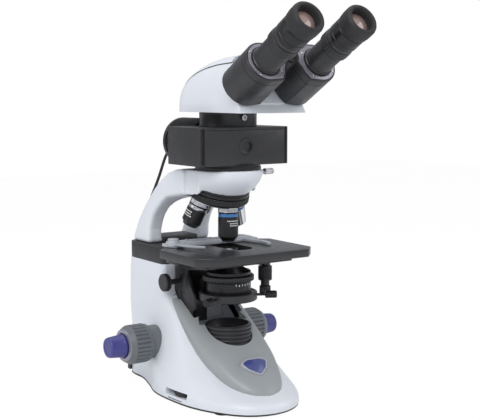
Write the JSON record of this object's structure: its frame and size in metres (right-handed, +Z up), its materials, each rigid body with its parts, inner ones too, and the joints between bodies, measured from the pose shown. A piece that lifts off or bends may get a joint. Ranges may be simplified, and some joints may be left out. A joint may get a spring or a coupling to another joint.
{
  "type": "laboratory microscope",
  "caption": "Upright compound microscope with slanted binocular head, filter block and rear lamp house, tilted nosepiece, mechanical stage, condenser and focus drive.",
  "frame": {"origin": "on the table, at the middle of the whole object's outline; the optical axis stands 21 mm behind it", "axes": "+Z up, the user sits at -Y and looks along +Y, +X is the user's right"},
  "size_m": [0.226, 0.3659, 0.4192],
  "materials": {
    "white_paint": "satin enamel",
    "gray_paint": "satin enamel",
    "black_paint": "fine textured",
    "black_anodised": "satin anodised",
    "black_plastic": "fine textured",
    "gray_plastic": "ribbed",
    "blue_plastic": "fluted",
    "rubber": "matt",
    "steel": "turned",
    "chrome": "bright",
    "silver_alloy": "satin",
    "glass": "polished",
    "circuit": "board",
    "badge": "gloss"
  },
  "bodies": {
    "stand": {"base_shell": "white_paint", "base_cover": "gray_paint", "lamp_hood": "black_plastic", "field_lens": "glass", "lamp_board": "circuit", "badge_plate": "badge", "bottom_plate": "black_paint", "rubber_feet": "rubber", "rear_cover": "gray_plastic", "power_inlet": "black_plastic", "shaft_collars": "gray_plastic", "arm_collar": "black_plastic", "upper_arm": "white_paint", "turret_base": "black_anodised", "mount_ring": "black_anodised", "filter_housing": "black_paint", "end_caps": "black_paint", "port_plug": "black_plastic", "filter_cube": "black_anodised", "lamp_house": "black_anodised", "lamp_lead": "rubber", "lead_plug": "black_plastic", "neck_ring": "black_paint"},
    "switch": {"power_switch": "black_plastic"},
    "dimmer": {"dimmer_wheel": "black_plastic"},
    "coarse_drive": {"coarse_shaft": "steel", "coarse_knobs": "gray_plastic"},
    "fine_drive": {"fine_knobs": "blue_plastic"},
    "turret": {"turret_disc": "steel", "objective_front": "black_anodised", "objective_right": "chrome", "objective_back": "black_anodised", "objective_left": "black_anodised"},
    "block_clamp": {"clamp_screw": "steel"},
    "neck_lock": {"neck_screw": "steel"},
    "head": {"head_base": "white_paint", "head_roof": "white_paint", "hinge_pin": "black_anodised"},
    "left_prism": {"left_prism_housing": "black_paint", "left_eye_tube": "black_anodised"},
    "right_prism": {"right_prism_housing": "black_paint", "right_eye_tube": "black_anodised"},
    "left_diopter": {"diopter_ring_left": "gray_plastic"},
    "right_diopter": {"diopter_ring_right": "gray_plastic"},
    "left_ocular": {"left_eyepiece": "black_anodised", "left_eyecup": "rubber"},
    "right_ocular": {"right_eyepiece": "black_anodised", "right_eyecup": "rubber"},
    "stage_lift": {"stage_carrier": "black_paint", "stage_rails": "black_paint"},
    "stage_table": {"stage_plate": "black_anodised"},
    "specimen_holder": {"slide_holder": "silver_alloy"},
    "clip": {"clip_finger": "silver_alloy"},
    "y_drive": {"drive_knobs_y": "black_plastic"},
    "x_drive": {"drive_knob_x": "black_plastic"},
    "condenser": {"condenser_unit": "black_anodised"},
    "condenser_drive": {"condenser_knob": "black_plastic"},
    "iris": {"iris_ring": "black_anodised"},
    "left_centring": {"centring_screw_left": "black_plastic"},
    "right_centring": {"centring_screw_right": "black_plastic"}
  },
  "joints": [
    {"name": "stage_focus", "type": "slide", "parent": "stand", "child": "stage_lift", "axis": [0, 0, 1], "range_m": [-0.016, 0]},
    {"name": "coarse_turn", "type": "hinge", "parent": "stand", "child": "coarse_drive", "pos_m": [0, 0.0931, 0.054], "axis": [-1, 0, 0], "range_deg": [-105.5, 0]},
    {"name": "fine_turn", "type": "hinge", "parent": "coarse_drive", "child": "fine_drive", "pos_m": [0, 0.0931, 0.054], "axis": [-1, 0, 0], "continuous": true},
    {"name": "stage_y", "type": "slide", "parent": "stage_lift", "child": "stage_table", "axis": [0, 1, 0], "range_m": [-0.016, 0.016]},
    {"name": "y_knob_turn", "type": "hinge", "parent": "stage_table", "child": "y_drive", "pos_m": [0.0647, 0.0411, 0.125], "axis": [0, 0, 1], "range_deg": [-147, 147]},
    {"name": "stage_x", "type": "slide", "parent": "stage_table", "child": "specimen_holder", "axis": [1, 0, 0], "range_m": [-0.037, 0.037]},
    {"name": "x_knob_turn", "type": "hinge", "parent": "stage_table", "child": "x_drive", "pos_m": [0.0647, 0.0411, 0.109], "axis": [0, 0, 1], "range_deg": [-212.1, 212.1]},
    {"name": "clip_open", "type": "hinge", "parent": "specimen_holder", "child": "clip", "pos_m": [-0.051, 0.0531, 0.174], "axis": [0, 0, 1], "range_deg": [-25, 0], "stiffness_Nm_per_rad": 0.02},
    {"name": "condenser_focus", "type": "slide", "parent": "stage_lift", "child": "condenser", "axis": [0, 0, 1], "range_m": [-0.009, 0]},
    {"name": "condenser_knob_turn", "type": "hinge", "parent": "stage_lift", "child": "condenser_drive", "pos_m": [-0.03, 0.0731, 0.124], "axis": [1, 0, 0], "range_deg": [0, 103.3]},
    {"name": "iris_turn", "type": "hinge", "parent": "condenser", "child": "iris", "pos_m": [0, 0.0211, 0.133], "axis": [0, 0, 1], "range_deg": [-25, 25]},
    {"name": "left_centring_turn", "type": "hinge", "parent": "condenser", "child": "left_centring", "pos_m": [-0.03984, -0.0019, 0.113], "axis": [-0.866, -0.5, 0], "range_deg": [-180, 180]},
    {"name": "right_centring_turn", "type": "hinge", "parent": "condenser", "child": "right_centring", "pos_m": [0.03984, -0.0019, 0.113], "axis": [0.866, -0.5, 0], "range_deg": [-180, 180]},
    {"name": "turret_turn", "type": "hinge", "parent": "stand", "child": "turret", "pos_m": [0, 0.04107, 0.21949], "axis": [0, 0.309, -0.9511], "continuous": true},
    {"name": "head_turn", "type": "hinge", "parent": "stand", "child": "head", "pos_m": [0, 0.0211, 0.314], "axis": [0, 0, 1], "continuous": true},
    {"name": "left_prism_turn", "type": "hinge", "parent": "head", "child": "left_prism", "pos_m": [0, -0.06628, 0.35893], "axis": [0, -0.866, 0.5], "range_deg": [-14, 20]},
    {"name": "right_prism_turn", "type": "hinge", "parent": "head", "child": "right_prism", "pos_m": [0, -0.06628, 0.35893], "axis": [0, -0.866, 0.5], "range_deg": [-20, 14]},
    {"name": "left_diopter_turn", "type": "hinge", "parent": "left_prism", "child": "left_diopter", "pos_m": [-0.032, -0.12225, 0.382], "axis": [0, -0.866, 0.5], "range_deg": [-90, 90]},
    {"name": "right_diopter_turn", "type": "hinge", "parent": "right_prism", "child": "right_diopter", "pos_m": [0.032, -0.12225, 0.382], "axis": [0, -0.866, 0.5], "range_deg": [-90, 90]},
    {"name": "left_ocular_turn", "type": "hinge", "parent": "left_prism", "child": "left_ocular", "pos_m": [-0.032, -0.13957, 0.392], "axis": [0, -0.866, 0.5], "continuous": true},
    {"name": "right_ocular_turn", "type": "hinge", "parent": "right_prism", "child": "right_ocular", "pos_m": [0.032, -0.13957, 0.392], "axis": [0, -0.866, 0.5], "continuous": true},
    {"name": "dimmer_turn", "type": "hinge", "parent": "stand", "child": "dimmer", "pos_m": [-0.049, 0.0221, 0.012], "axis": [0, 0, 1], "range_deg": [-135, 135]},
    {"name": "switch_rock", "type": "hinge", "parent": "stand", "child": "switch", "pos_m": [-0.02, 0.1636, 0.017], "axis": [1, 0, 0], "range_deg": [-8, 8]},
    {"name": "block_clamp_turn", "type": "hinge", "parent": "stand", "child": "block_clamp", "pos_m": [0.054, 0.0211, 0.2475], "axis": [1, 0, 0], "range_deg": [-180, 180]},
    {"name": "neck_lock_turn", "type": "hinge", "parent": "stand", "child": "neck_lock", "pos_m": [-0.002, -0.0119, 0.3085], "axis": [0, -1, 0], "range_deg": [-180, 180]}
  ],
  "couplings": [
    {"joint": "coarse_turn", "follows": "stage_focus", "rad_per_m": 114.94},
    {"joint": "y_knob_turn", "follows": "stage_y", "rad_per_m": 160},
    {"joint": "x_knob_turn", "follows": "stage_x", "rad_per_m": 100},
    {"joint": "condenser_knob_turn", "follows": "condenser_focus", "rad_per_m": -200},
    {"joint": "right_prism_turn", "follows": "left_prism_turn", "ratio": -1}
  ]
}
